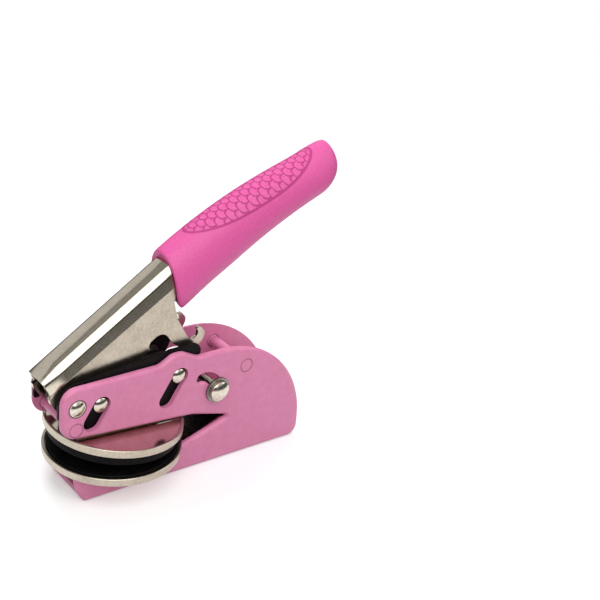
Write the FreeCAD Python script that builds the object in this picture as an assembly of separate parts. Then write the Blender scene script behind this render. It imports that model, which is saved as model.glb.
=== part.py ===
"""Hand-held seal embosser: a lever press whose removable die clip embosses paper.

Frame of reference: +X runs to the rear (towards the grip), +Z up, and the origin
lies on the resting plane below the centre of the dies. Units are millimetres and
degrees. Every separate piece is written to its own STEP file in parts/.
"""
import FreeCAD, Part
import math
import os
from FreeCAD import Vector

# ---------------------------------------------------------------- driving sizes
# Folded frame
frame_width = 22.4
frame_sheet = 2.0
frame_bend = 1.6
web_front_x = -16.5
frame_rear_x = 74.0
nose_x = -20.4
nose_knee_z = 4.6
seat_z = 10.5
throat_x = 42.6
throat_z = 17.1
throat_mouth_x = 21.0
throat_tip_radius = 0.9
jaw_front_x = -25.8
jaw_bottom_z = 26.2
jaw_heel_x = 25.5
jaw_heel_z = 21.9
jaw_top_z = 45.0
jaw_corner_radius = 5.5
hump_height = 2.9
rear_top_z = 44.6
rear_lobe_radius = 38.0

# Cross rods, riveted flush
rod_diameter = 4.0
rivet_diameter = 4.8
front_rod_x = -20.5
front_rod_z = 29.6
rear_rod_x = 47.0
rear_rod_z = 36.2

# Pivot, guide pins and their slots
pivot_x = -20.2
pivot_z = 37.6
pivot_diameter = 5.8
front_pin_x = -11.2
front_pin_z = 36.3
rear_pin_x = 19.0
rear_pin_z = 39.1
pin_diameter = 4.2
pin_head_diameter = 5.3
pin_head_height = 0.9
slot_lean = 31.0
front_slot_width = 6.0
front_slot_length = 6.4
rear_slot_width = 5.3
rear_slot_length = 9.4
press_travel = 3.7

# Return spring
spring_wire = 1.4

# Lever, drawn along its own axis with the pivot as origin
lever_angle = 34.8
lever_turn = 23.0
lever_sheet = 1.2
back_height_front = 11.2
back_height_rear = 10.2
back_crown = 0.5
back_corner = 1.6
lever_front = -2.9
cheek_step = 0.7
lever_depth = 30.0
lever_washer_thickness = 1.0
cheek_top_front = 7.4
cheek_top_rear = 5.2
lever_straight = 50.0
lever_bend_radius = 130.0
lever_bend_turn = 21.0
ear_radius = 4.8
notch_s = 34.9
notch_n = -8.6
notch_radius = 3.7
lock_turn = 19.0

# Grip
grip_front = 48.0
grip_rear = 125.4
grip_half_width = 8.6
grip_crest = 15.2
grip_droop = 10.7
grip_underside = -6.3
grip_cap = 12.6
grip_belly_x = 70.0
grip_pocket_depth = 9.0
grip_belly_curve = 0.00278

# Press carrier
carrier_sheet = 1.2
carrier_rise = 1.6
carrier_foot_z = 26.4
carrier_foot_front = -15.2
carrier_foot_rear = 13.0

# Lock
lock_pin_diameter = 4.0
lock_slot_x = 29.0
lock_slot_z = 30.0
lock_slot_radius = 5.8
lock_sweep = 98.0
lock_knob_diameter = 7.5
lock_knob_height = 2.4
lock_washer_diameter = 9.4
lock_washer_thickness = 0.9

# Die clip
disc_diameter = 48.0
lower_rim = 2.2
upper_rim = 1.6
disc_sheet = 1.0
disc_wall = 0.9
lower_die_rise = 1.1
upper_die_depth = 4.6
die_gap_closed = 0.15
clip_turn = 4.4
clip_hinge_x = 43.0
clip_hinge_z = 17.0
rail_sheet = 1.0
leaf_sheet = 0.8
leaf_bend = 1.9
leaf_lap_x = 9.0
rail_rear_x = 13.0
rail_nose_half_width = 4.5
rivet_front_x = -12.0
rivet_rear_x = 6.0
rivet_side = 4.5
rivet_small = 3.0

# Clearances
running_gap = 0.1
fit_gap = 0.05
side_gap = 0.2
seat_gap = 0.15
lever_side_gap = 0.4
rail_gap = 0.5
leaf_gap = 0.3
die_gap = 0.4
cut_reach = 60.0

half_width = frame_width / 2
inner_half = half_width - frame_sheet
rail_half_width = inner_half - rail_gap
leaf_half_width = rail_half_width - rail_sheet - leaf_gap
cheek_outer = inner_half - side_gap - carrier_sheet - lever_washer_thickness - lever_side_gap
back_half_width = cheek_outer - cheek_step
die_diameter = disc_diameter - 2 * (disc_wall + die_gap)
pivot = Vector(pivot_x, 0, pivot_z)
front_pin = Vector(front_pin_x, 0, front_pin_z)
rear_pin = Vector(rear_pin_x, 0, rear_pin_z)
lean = math.radians(slot_lean)
press_direction = Vector(-math.sin(lean), 0, -math.cos(lean))
across = Vector(0, 1, 0)


# ---------------------------------------------------------------- drawing helpers
def rounded_face(corners):
    """Face in the XZ plane from corners (x, z, radius).

    Each corner is rounded; where two roundings would meet on a short edge both
    shrink to fit it.
    """
    points = [Vector(x, 0, z) for x, z, radius in corners]
    count = len(points)
    spans = [points[(i + 1) % count] - points[i] for i in range(count)]
    half_angles = []
    reaches = []
    for i, (x, z, radius) in enumerate(corners):
        opening = max(0.02, (spans[i - 1] * -1).getAngle(spans[i])) / 2
        half_angles.append(opening)
        reaches.append(radius / math.tan(opening))
    for i in range(count):
        following = (i + 1) % count
        room = spans[i].Length
        wanted = reaches[i] + reaches[following]
        if wanted > room:
            reaches[i] *= room / wanted
            reaches[following] *= room / wanted
    starts, middles, ends = [], [], []
    for i in range(count):
        before = (spans[i - 1] * -1).normalize()
        after = Vector(spans[i]).normalize()
        radius = reaches[i] * math.tan(half_angles[i])
        bisector = (before + after).normalize()
        depth = radius / math.sin(half_angles[i]) - radius
        starts.append(points[i] + before * reaches[i])
        ends.append(points[i] + after * reaches[i])
        middles.append(points[i] + bisector * depth)
    edges = []
    for i in range(count):
        if reaches[i] > 0:
            edges.append(Part.Arc(starts[i], middles[i], ends[i]).toShape())
        following = starts[(i + 1) % count]
        if ends[i].distanceToPoint(following) > 1e-5:
            edges.append(Part.makeLine(ends[i], following))
    return Part.Face(Part.Wire(edges))


def slab(face, low_y, high_y):
    """Extrude a face drawn in the XZ plane from low_y to high_y."""
    placed = face.copy()
    placed.translate(Vector(0, low_y, 0))
    return placed.extrude(Vector(0, high_y - low_y, 0))


def rod(point, radius, low_y, high_y):
    """Round bar along Y through a point of the XZ plane."""
    return Part.makeCylinder(radius, high_y - low_y, Vector(point.x, low_y, point.z), across)


def obround(start, end, radius, low_y, high_y):
    """Straight slot or strap with round ends, from start to end."""
    along = end - start
    normal = Vector(-along.z, 0, along.x)
    normal.normalize()
    side = normal * radius
    corners = [start + side, end + side, end - side, start - side]
    bar = slab(Part.Face(Part.makePolygon(corners + corners[:1])), low_y, high_y)
    return bar.fuse([rod(start, radius, low_y, high_y), rod(end, radius, low_y, high_y)]).removeSplitter()


def both_sides(shape):
    """The shape and its mirror image in the XZ plane, as separate solids."""
    return Part.makeCompound([shape, shape.mirror(Vector(0, 0, 0), across)])


def domed_end(point, radius, height, face_y):
    """Domed head whose flat underside stands at face_y on the -Y side."""
    ball = (radius * radius + height * height) / (2 * height)
    centre = Vector(point.x, face_y + ball - height, point.z)
    stock = rod(point, radius, face_y - height - 1, face_y)
    return Part.makeSphere(ball, centre).common(stock)


def turned(shape, degrees, centre):
    """Turn a shape about the Y direction through centre; positive lowers the rear."""
    moved = shape.copy()
    moved.rotate(centre, across, degrees)
    return moved


def from_lever(shape):
    """Place a shape drawn along the lever's axis into its rest position."""
    moved = shape.copy()
    moved.translate(pivot)
    return turned(moved, -lever_angle, pivot)


def to_lever(point, turn):
    """A point of the frame as the lever sees it when turned down by turn degrees."""
    angle = math.radians(turn - lever_angle)
    reach = point - pivot
    along = reach.x * math.cos(angle) - reach.z * math.sin(angle)
    normal = reach.x * math.sin(angle) + reach.z * math.cos(angle)
    return Vector(along, 0, normal)


def lock_point(angle):
    """Centre of the lock pin at an angle of its curved slot."""
    turn = math.radians(angle)
    return Vector(lock_slot_x + lock_slot_radius * math.cos(turn), 0,
                  lock_slot_z + lock_slot_radius * math.sin(turn))


# ---------------------------------------------------------------- frame
def side_outline():
    """Side plate with nose, throat, jaw, hump over the rear slot and round rear."""
    hump_z = jaw_top_z + hump_height
    return rounded_face([
        (web_front_x, 0, 1.0),
        (nose_x + 0.9, nose_knee_z, 6.0),
        (nose_x, seat_z, 1.0),
        (throat_mouth_x, seat_z, 3.0),
        (throat_x, throat_z, throat_tip_radius),
        (jaw_heel_x, jaw_heel_z, 4.0),
        (jaw_front_x, jaw_bottom_z, 6.5),
        (jaw_front_x, jaw_top_z, jaw_corner_radius),
        (rear_pin_x - 8.0, jaw_top_z, 5.0),
        (rear_pin_x - 3.0, hump_z, 5.0),
        (rear_pin_x + 1.0, hump_z, 5.0),
        (rear_pin_x + 7.5, rear_top_z, 5.0),
        (frame_rear_x, rear_top_z, rear_lobe_radius),
        (frame_rear_x, 0, 4.0),
    ])


def curved_slot(low_y, high_y):
    """Lock slot: a band along an arc with round ends."""
    radius = lock_pin_diameter / 2 + side_gap
    centre = Vector(lock_slot_x, low_y, lock_slot_z)
    height = high_y - low_y
    outer = Part.makeCylinder(lock_slot_radius + radius, height, centre, across)
    inner = Part.makeCylinder(lock_slot_radius - radius, height, centre, across)
    ring = outer.cut(inner)
    reach = 3 * lock_slot_radius
    middle = Vector(lock_slot_x, 0, lock_slot_z)
    corners = [middle]
    for step in range(4):
        angle = math.radians(lock_sweep * step / 3)
        corners.append(middle + Vector(math.cos(angle), 0, math.sin(angle)) * reach)
    wedge = slab(Part.Face(Part.makePolygon(corners + corners[:1])), low_y, high_y)
    ends = [rod(lock_point(angle), radius, low_y, high_y) for angle in (0, lock_sweep)]
    return ring.common(wedge).fuse(ends)


def make_frame_channel():
    plate = slab(side_outline(), -half_width, half_width)
    inside = slab(rounded_face([
        (2 * jaw_front_x, frame_sheet, 0), (2 * frame_rear_x, frame_sheet, 0),
        (2 * frame_rear_x, 2 * jaw_top_z, 0), (2 * jaw_front_x, 2 * jaw_top_z, 0),
    ]), -inner_half, inner_half)
    front_gap = Part.makeBox(20, 2 * inner_half, 2 * frame_sheet,
                             Vector(web_front_x - 20, -inner_half, -frame_sheet / 2))
    channel = plate.cut([inside, front_gap])
    tools = [
        rod(pivot, pivot_diameter / 2 + running_gap, -half_width - 1, half_width + 1),
        obround(front_pin, front_pin + press_direction * front_slot_length,
                front_slot_width / 2, -half_width - 1, half_width + 1),
        rod(rear_pin, pin_head_diameter / 2 + 0.3, -half_width - 1, half_width + 1),
        obround(rear_pin, rear_pin + press_direction * rear_slot_length,
                rear_slot_width / 2, -half_width - 1, half_width + 1),
        curved_slot(-half_width - 1, half_width + 1),
    ]
    for x, z in ((front_rod_x, front_rod_z), (rear_rod_x, rear_rod_z)):
        tools.append(rod(Vector(x, 0, z), rivet_diameter / 2 + fit_gap, -half_width - 1, half_width + 1))
    channel = channel.cut(tools)
    bends = [edge for edge in channel.Edges
             if edge.BoundBox.ZMax < 0.01 and edge.BoundBox.XLength > 20
             and abs(abs(edge.BoundBox.YMin) - half_width) < 0.01]
    return channel.makeFillet(frame_bend, bends)


def make_spacer(x, z):
    """Cross rod: its ends are upset in the plates and filed flush."""
    point = Vector(x, 0, z)
    bar = rod(point, rod_diameter / 2, -half_width, half_width)
    end = rod(point, rivet_diameter / 2, -half_width, -inner_half)
    return bar.fuse([end, end.mirror(Vector(0, 0, 0), across)]).removeSplitter()


def make_pivot_pin():
    radius = pivot_diameter / 2
    shaft = rod(pivot, radius, -half_width, half_width)
    dome = domed_end(pivot, radius - 0.25, pin_head_height, -half_width)
    return shaft.fuse([dome, dome.mirror(Vector(0, 0, 0), across)])


def spring_turn(y, start_angle, sweep, leg_length):
    """One coil round the pivot; its start runs on as a straight leg, if it has one."""
    radius = spring_wire / 2
    coil = pivot_diameter / 2 + radius + 0.3
    angle = math.radians(start_angle)
    outward = Vector(math.cos(angle), 0, math.sin(angle))
    tangent = Vector(math.sin(angle), 0, -math.cos(angle))
    centre = Vector(pivot_x, y, pivot_z)
    start = centre + outward * coil
    disc = Part.Face(Part.Wire(Part.makeCircle(radius, start, tangent)))
    turn = disc.revolve(centre, across, -sweep)
    if leg_length > 0:
        turn = turn.fuse(Part.makeCylinder(radius, leg_length, start, tangent))
    return turn


def make_return_spring():
    """Closed coils round the pivot pin; one leg lies on the rear pin, one under the lever."""
    radius = spring_wire / 2
    coil = pivot_diameter / 2 + radius + 0.3
    pitch = spring_wire + 0.12
    rest_height = rear_pin_z + pin_diameter / 2 + radius + fit_gap - pivot_z
    reach = rear_pin_x + 1.5 - pivot_x
    rear_rise = math.degrees(math.asin((rest_height - coil) / reach))
    steep = 25.0
    roof = back_height_rear - lever_sheet - radius - 0.3
    lever_leg = (roof - coil * math.cos(math.radians(steep))) / math.sin(math.radians(steep))
    return Part.makeCompound([
        spring_turn(pitch, 90 + rear_rise, 345, reach),
        spring_turn(0, 90, 360, 0),
        spring_turn(-pitch, 90 + lever_angle + steep, 345, lever_leg),
    ])


# ---------------------------------------------------------------- lever
def back_curve(x, top, inset):
    """The lever's broad back across one section: nearly flat, with rounded corners."""
    side = back_half_width - inset
    high = top - inset
    corner = max(0.3, back_corner - inset)
    bend = corner * (1 - math.sqrt(0.5))
    left = [Vector(x, -side, high - corner), Vector(x, bend - side, high - bend), Vector(x, corner - side, high)]
    right = [Vector(point.x, -point.y, point.z) for point in reversed(left)]
    crown = Part.Arc(left[2], Vector(x, 0, high + back_crown), right[0])
    return [Part.Arc(*left).toShape(), crown.toShape(), Part.Arc(*right).toShape()], left[0], right[2]


def lever_section(x, top, cheek_top, inset, bottom):
    """Closed section across the lever at x: broad back, short sides, stepped-out cheeks."""
    curves, left, right = back_curve(x, top, inset)
    cheek = cheek_outer - inset
    side = back_half_width - inset
    outline = [Vector(x, -cheek, bottom), Vector(x, -cheek, cheek_top - 0.5), Vector(x, -side, cheek_top), left]
    mirrored = [Vector(point.x, -point.y, point.z) for point in reversed(outline)]
    edges = [Part.makeLine(outline[i], outline[i + 1]) for i in range(3)] + curves
    edges += [Part.makeLine(mirrored[i], mirrored[i + 1]) for i in range(3)]
    return Part.Wire(edges + [Part.makeLine(mirrored[-1], outline[0])])


def lever_block(inset, bottom):
    """The lever's folded form as a solid block, straight part only."""
    front_x = lever_front - 6
    front = lever_section(front_x, back_height_front, cheek_top_front, inset, bottom)
    rear = lever_section(lever_straight, back_height_rear, cheek_top_rear, inset, bottom)
    return Part.makeLoft([front, rear], True, True)


def lever_bent_block(inset, bottom, turn):
    """The bent rear of the lever that the grip covers."""
    curves, left, right = back_curve(lever_straight, back_height_rear, inset)
    low_left = Vector(left.x, left.y, bottom)
    low_right = Vector(right.x, right.y, bottom)
    edges = [Part.makeLine(low_left, left)] + curves
    edges += [Part.makeLine(right, low_right), Part.makeLine(low_right, low_left)]
    centre = Vector(lever_straight, 0, -lever_bend_radius)
    return Part.Face(Part.Wire(edges)).revolve(centre, across, turn)


def lever_outline():
    """Side view of the lever: cheeks, notch over the rear pin, hook for the lock pin."""
    hook = to_lever(lock_point(lock_sweep), lock_turn)
    throat = lock_pin_diameter / 2 + 0.25
    bed = hook.z - throat
    left = hook.x - throat
    right = hook.x + throat
    top = notch_n + notch_radius
    near_wall = notch_s - notch_radius
    far_wall = notch_s + notch_radius
    profile = slab(rounded_face([
        (lever_front, back_height_front + 8, 0),
        (lever_straight, back_height_front + 8, 0),
        (lever_straight, 3.0, 0),
        (left + 3.6, 1.5, 1.2),
        (left + 0.9, -6.0, 3.0),
        (left, bed, throat * 0.98),
        (right, bed, throat * 0.98),
        (right, hook.z + 0.5, 0.5),
        (right + 1.5, hook.z - 0.4, 0.5),
        (right + 1.9, hook.z - 3.8, 2.5),
        (hook.x + 0.5, hook.z - 5.9, 3.0),
        (left - 2.6, hook.z - 4.2, 3.0),
        (left - 4.8, hook.z + 1.6, 1.5),
        (far_wall, notch_n - 3.4, 0.9),
        (far_wall, top, notch_radius * 0.98),
        (near_wall, top, notch_radius * 0.98),
        (near_wall, notch_n + 1.1, 0.8),
        (notch_s - 8.0, notch_n + 1.3, 3.0),
        (19.0, -4.6, 5.0),
        (10.5, -3.2, 1.0),
        (0, -3.0, 0),
        (-5.2, 0, 0),
        (lever_front - 2.3, 5.3, 3.0),
        (lever_front - 0.9, 8.4, 1.2),
    ]), -cheek_outer - 1, cheek_outer + 1)
    ear = obround(Vector(0, 0, 0), drive_hole_centre(), ear_radius, -cheek_outer - 1, cheek_outer + 1)
    return profile.fuse(ear)


def drive_hole_centre():
    """Middle of the front guide pin's short path as the lever sees it."""
    at_rest = to_lever(front_pin, 0)
    pressed = to_lever(front_pin + press_direction * press_travel, lever_turn)
    return (at_rest + pressed) * 0.5


def make_lever_shell():
    shell = lever_block(0, -lever_depth).cut(lever_block(lever_sheet, -lever_depth - 1)).common(lever_outline())
    path = to_lever(front_pin, 0).distanceToPoint(drive_hole_centre())
    holes = [
        rod(Vector(0, 0, 0), pivot_diameter / 2 + running_gap, -cut_reach, cut_reach),
        rod(drive_hole_centre(), pin_diameter / 2 + path + running_gap, -cut_reach, cut_reach),
    ]
    bent = lever_bent_block(0, 4.0, lever_bend_turn).cut(lever_bent_block(lever_sheet, 3.0, 90))
    whole = shell.cut(holes).fuse(bent).removeSplitter()
    return from_lever(whole)


def grip_section(x):
    """Crest, underside and half width of the grip at a station along the lever."""
    beyond = max(0.0, (x - grip_front - 5.0) / 60.0)
    top = grip_crest - grip_droop * beyond ** 1.9
    bottom = grip_underside - grip_belly_curve * (x - grip_belly_x) ** 2
    width = grip_half_width - 0.6 * beyond ** 2
    cap_start = grip_rear - grip_cap
    if x > cap_start:
        shrink = (1 - ((x - cap_start) / grip_cap) ** 2.5) ** 0.4
        middle = (top + bottom) / 2
        top = middle + (top - middle) * shrink
        bottom = middle + (bottom - middle) * shrink
        width = width * shrink
    return top, bottom, width


def grip_wire(x):
    """Oval section across the grip."""
    top, bottom, width = grip_section(x)
    middle = (top + bottom) / 2
    height = (top - bottom) / 2
    points = []
    for step in range(16):
        angle = 2 * math.pi * step / 16
        points.append(Vector(x, width * math.sin(angle), middle + height * math.cos(angle)))
    oval = Part.BSplineCurve()
    oval.interpolate(Points=points, PeriodicFlag=True)
    return Part.Wire(oval.toShape())


def make_grip():
    body_end = grip_rear - grip_cap
    step = (body_end - grip_front + 4) / 14
    stations = [grip_front - 4 + step * count for count in range(14)]
    stations += [body_end + grip_cap * math.sin(math.radians(turn)) for turn in (0, 12, 24, 36, 48, 58, 68, 77, 84)]
    body = Part.makeLoft([grip_wire(x) for x in stations], True, True)
    mouth = slab(rounded_face([
        (grip_front - 10, grip_crest + 8, 0),
        (grip_front + 4.6, grip_crest + 8, 0),
        (grip_front + 4.4, 8.0, 5.0),
        (grip_front - 1.4, -1.5, 4.0),
        (grip_front + 1.8, -12, 0),
        (grip_front - 10, -12, 0),
    ]), -cut_reach, cut_reach)
    reach = slab(rounded_face([
        (0, cut_reach, 0), (lever_straight + 0.1, cut_reach, 0),
        (lever_straight + 0.1, -grip_pocket_depth, 0), (0, -grip_pocket_depth, 0)]), -cut_reach, cut_reach)
    pocket = lever_block(-fit_gap * 2, -lever_depth).common(reach)
    bent = lever_bent_block(-fit_gap * 2, 3.9, lever_bend_turn + 0.2)
    return from_lever(body.cut([mouth, pocket, bent, plug_block(0.1)]))


def plug_block(extra):
    """Black plug between the cheeks at the grip's mouth; extra widens it for its pocket."""
    side = cheek_outer - lever_sheet - 0.1 + extra
    return slab(rounded_face([
        (grip_front - 3.4, -8.6 - extra, 1.0),
        (grip_front + 1.0, -7.4 - extra, 0.8),
        (grip_front + 2.0, -2.6 - extra, 0.5),
        (grip_front + 10.0, -2.6 - extra, 0),
        (grip_front + 10.0 + extra, 2.2 + extra, 0),
        (grip_front - 3.6, 2.2 + extra, 0.5),
    ]), -side, side)


def make_lever_washers():
    washer = rod(pivot, ear_radius - 0.4,
                 -cheek_outer - running_gap - lever_washer_thickness, -cheek_outer - running_gap)
    hole = rod(pivot, pivot_diameter / 2 + running_gap, -cut_reach, cut_reach)
    return both_sides(washer.cut(hole))


# ---------------------------------------------------------------- press carrier
def make_press_carrier():
    """Black channel: two walls that follow the jaw, a foot over the dies."""
    outer = inner_half - side_gap
    inner = outer - carrier_sheet
    top = jaw_top_z + carrier_rise
    front = jaw_front_x - carrier_rise + 0.4
    hump_z = top + hump_height - 0.6
    notch_rear = carrier_foot_front - 0.2
    arch_x = pivot_x + math.sin(lean) * press_travel
    arch_z = pivot_z + math.cos(lean) * press_travel
    arch_radius = pivot_diameter / 2 + side_gap
    leg = pivot_x - arch_radius - 0.2
    wall = slab(rounded_face([
        (front, front_rod_z + 3.6, 1.0),
        (front, top, 5.0),
        (rear_pin_x - 8.0, top, 5.0),
        (rear_pin_x - 3.5, hump_z, 5.0),
        (rear_pin_x + 7.0, hump_z, 3.0),
        (rear_pin_x + 5.2, jaw_top_z - 2.0, 5.0),
        (rear_pin_x + 5.0, rear_pin_z - 7.5, 5.0),
        (carrier_foot_rear, carrier_foot_z, 3.0),
        (notch_rear, carrier_foot_z, 1.0),
        (notch_rear, arch_z - 5.0, 1.5),
        (arch_x + arch_radius, arch_z - 3.0, 1.0),
        (arch_x + arch_radius, arch_z + arch_radius, arch_radius * 0.95),
        (leg, arch_z + arch_radius, arch_radius * 0.95),
        (leg, front_rod_z + 3.6, 1.0),
    ]), -outer, outer)
    hollow = slab(rounded_face([
        (2 * jaw_front_x, carrier_foot_z + carrier_sheet, 0), (100, carrier_foot_z + carrier_sheet, 0),
        (100, 100, 0), (2 * jaw_front_x, 100, 0)]), -inner, inner)
    tail = Part.makeBox(60, 2 * inner, 20, Vector(carrier_foot_rear - 1.5, -inner, carrier_foot_z - 1))
    holes = [rod(point, pin_diameter / 2 + fit_gap, -cut_reach, cut_reach) for point in (front_pin, rear_pin)]
    button = Part.makeCylinder(rivet_small / 2 + fit_gap, 10, Vector(0, 0, carrier_foot_z - 5))
    return wall.cut([hollow, tail, button] + holes)


def make_guide_pin(point):
    outside = half_width + seat_gap
    shaft = rod(point, pin_diameter / 2, -outside, outside)
    head = domed_end(point, pin_head_diameter / 2, pin_head_height, -outside)
    return shaft.fuse([head, head.mirror(Vector(0, 0, 0), across)])


def make_pin_clips():
    """Retaining clips inside the carrier's walls, one pair on each guide pin."""
    wall = inner_half - side_gap - carrier_sheet
    clips = []
    for point in (front_pin, rear_pin):
        disc = rod(point, pin_diameter / 2 + 1.1, -wall + fit_gap, -wall + fit_gap + 0.6)
        bore = rod(point, pin_diameter / 2 + fit_gap, -cut_reach, cut_reach)
        mouth = Part.makeBox(1.8, 4, 6, Vector(point.x - 0.9, -wall - 1, point.z - 6))
        clips += both_sides(disc.cut([bore, mouth])).Solids
    return Part.makeCompound(clips)


def make_press_button():
    """Hardened button riveted in the foot; it presses the upper rail."""
    shank = Part.makeCylinder(rivet_small / 2, carrier_sheet + 0.5, Vector(0, 0, carrier_foot_z))
    collar = Part.makeCylinder(rivet_small, 0.5, Vector(0, 0, carrier_foot_z + carrier_sheet))
    head = Part.makeCylinder(4.0, 0.9, Vector(0, 0, carrier_foot_z - 0.9))
    head = head.makeChamfer(0.4, [head.Edges[2]])
    return shank.fuse([collar, head]).removeSplitter()


# ---------------------------------------------------------------- die clip
lower_pan_z = seat_z + side_gap
lower_floor_z = lower_pan_z + disc_sheet
lower_die_top = lower_pan_z + lower_rim + lower_die_rise
upper_die_bottom = lower_die_top + die_gap_closed
upper_pan_z = upper_die_bottom + upper_die_depth
upper_floor_z = upper_pan_z + disc_sheet
clip_hinge = Vector(clip_hinge_x, 0, clip_hinge_z)


def pan(base_z, rim):
    """Shallow pressed dish with its rim standing up, turned from its half section."""
    radius = disc_diameter / 2
    wall = radius - disc_wall
    top = base_z + rim
    floor = base_z + disc_sheet
    section = rounded_face([
        (0, base_z, 0), (radius, base_z, 0.6), (radius, top, 0.3), (wall, top, 0.3),
        (wall, floor, 0.2), (0, floor, 0)])
    return section.revolve(Vector(0, 0, 0), Vector(0, 0, 1), 360)


def rivet_places():
    return [Vector(x, y, 0) for x in (rivet_front_x, rivet_rear_x) for y in (-rivet_side, rivet_side)]


def pierce(shape, radius):
    """Cut the clip's rivet holes through a plate."""
    drills = [Part.makeCylinder(radius, cut_reach, place) for place in rivet_places()]
    return shape.cut(drills)


def make_lower_disc():
    return pierce(pan(lower_pan_z, lower_rim), rivet_small / 2 + fit_gap)


def make_lower_die():
    """Lower die plate with a raised seal field inside a plain border."""
    radius = die_diameter / 2
    plate = Part.makeCylinder(radius, lower_die_top - lower_floor_z, Vector(0, 0, lower_floor_z))
    return plate.makeChamfer(0.3, [plate.Edges[0]])


def make_lower_rail():
    """Runner under the lower disc; it slides between the frame's side plates."""
    runner = slab(rounded_face([
        (nose_x + 1.5, lower_pan_z, 0), (throat_mouth_x - 1, lower_pan_z, 0),
        (throat_mouth_x - 1, lower_pan_z - rail_sheet, 0), (nose_x + 1.5, lower_pan_z - rail_sheet, 0)]),
        -rail_half_width, rail_half_width)
    skirt = slab(rounded_face([
        (nose_x + 1.5, lower_pan_z, 0.5), (throat_mouth_x - 1, lower_pan_z, 0.5),
        (throat_mouth_x - 3, lower_pan_z - 5.0, 1.5), (nose_x + 4.5, lower_pan_z - 5.0, 1.5)]),
        -rail_half_width, -rail_half_width + rail_sheet)
    rail = runner.fuse([skirt, skirt.mirror(Vector(0, 0, 0), across)]).removeSplitter()
    return pierce(rail, rivet_small / 2 + fit_gap)


def make_rivets(head_z, far_z):
    """Four rivets: heads against the plane head_z, shanks towards far_z."""
    facing = math.copysign(1, head_z - far_z)
    rivets = []
    for place in rivet_places():
        foot = Vector(place.x, place.y, head_z)
        head = Part.makeCone(rivet_small * 0.8, rivet_small * 0.55, 0.6, foot, Vector(0, 0, facing))
        shank = Part.makeCylinder(rivet_small / 2, abs(head_z - far_z), foot, Vector(0, 0, -facing))
        rivets.append(shank.fuse(head).removeSplitter())
    return Part.makeCompound(rivets)


def opened(shape):
    """Tilt a piece of the upper half from its closed place to rest."""
    return turned(shape, clip_turn, clip_hinge)


def make_upper_disc():
    return opened(pierce(pan(upper_pan_z, upper_rim), rivet_small / 2 + fit_gap))


def make_upper_die():
    radius = die_diameter / 2
    plate = Part.makeCylinder(radius, upper_die_depth, Vector(0, 0, upper_die_bottom))
    return opened(plate.makeChamfer(0.3, [plate.Edges[2]]))


def make_upper_rail():
    """Pressure strip in the upper dish, with a nose turned up at its front."""
    front = nose_x + 1.6
    rear = rail_rear_x
    top = upper_floor_z + rail_sheet
    strip = slab(rounded_face([
        (front, upper_floor_z, 0), (rear, upper_floor_z, 0), (rear, top, 0), (front, top, 0)]),
        -rail_half_width, rail_half_width)
    tab = slab(rounded_face([
        (front, upper_floor_z, 0.2), (front, top + 1.2, 0.5), (front + 1.2, top + 1.2, 0.4),
        (front + 1.2, upper_floor_z, 0)]), -rail_nose_half_width, rail_nose_half_width)
    lip = slab(rounded_face([
        (front + 3.5, upper_floor_z, 0), (rear, upper_floor_z, 0), (rear - 1, top + 0.9, 0.5),
        (front + 4.5, top + 0.9, 0.5)]), -rail_half_width, rail_sheet - rail_half_width)
    rail = strip.fuse([tab, lip, lip.mirror(Vector(0, 0, 0), across)]).removeSplitter()
    return opened(pierce(rail, rivet_small / 2 + fit_gap))


def opened_point(x, z):
    """A point of the upper half's closed drawing, tilted to rest."""
    angle = math.radians(clip_turn)
    reach_x = x - clip_hinge_x
    reach_z = z - clip_hinge_z
    return (clip_hinge_x + reach_x * math.cos(angle) + reach_z * math.sin(angle),
            clip_hinge_z - reach_x * math.sin(angle) + reach_z * math.cos(angle))


def make_clip_spring():
    """V-shaped leaf spring: its leaves lap both rails and meet in a round bend."""
    low = lower_pan_z - rail_sheet - fit_gap
    high = upper_floor_z + rail_sheet + fit_gap
    bend = leaf_bend
    hinge = clip_hinge
    over_rim = upper_pan_z + upper_rim + side_gap
    lap = leaf_lap_x
    rim_front = disc_diameter / 2 - 2
    rim_rear = disc_diameter / 2 + 2
    lower = slab(rounded_face([
        (lap, low, 0), (throat_mouth_x + 2, low, 2.0), (hinge.x - 3, hinge.z - bend + leaf_sheet, 2.0),
        (hinge.x, hinge.z - bend + leaf_sheet, 0), (hinge.x, hinge.z - bend, 0),
        (hinge.x - 3, hinge.z - bend, 2.0), (throat_mouth_x + 2, low - leaf_sheet, 2.0),
        (lap, low - leaf_sheet, 0)]), -leaf_half_width, leaf_half_width)
    upper = slab(rounded_face([
        (lap, high, 0), (lap, high + leaf_sheet, 0), (17.0, high + leaf_sheet, 1.0),
        (rim_front, over_rim + leaf_sheet, 2.0), (rim_rear, over_rim + leaf_sheet, 2.0),
        (hinge.x - 3, hinge.z + bend, 2.0), (hinge.x, hinge.z + bend, 0),
        (hinge.x, hinge.z + bend - leaf_sheet, 0), (hinge.x - 3, hinge.z + bend - leaf_sheet, 2.0),
        (rim_rear, over_rim, 2.0), (rim_front, over_rim, 2.0), (17.0, high, 1.0)]),
        -leaf_half_width, leaf_half_width)
    ring = rod(hinge, bend, -leaf_half_width, leaf_half_width)
    ring = ring.cut(rod(hinge, bend - leaf_sheet, -leaf_half_width - 1, leaf_half_width + 1))
    above = opened_point(hinge.x, hinge.z + 9)
    front = slab(Part.Face(Part.makePolygon([
        hinge, Vector(above[0], 0, above[1]), Vector(hinge.x - 9, 0, above[1]),
        Vector(hinge.x - 9, 0, hinge.z - 9), Vector(hinge.x, 0, hinge.z - 9), hinge])),
        -leaf_half_width - 1, leaf_half_width + 1)
    return lower.fuse([opened(upper), ring.cut(front)]).removeSplitter()


# ---------------------------------------------------------------- lock
def make_lock_pin():
    reach = half_width + seat_gap + lock_washer_thickness + 1.2
    return rod(lock_point(0), lock_pin_diameter / 2, -reach, reach)


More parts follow.
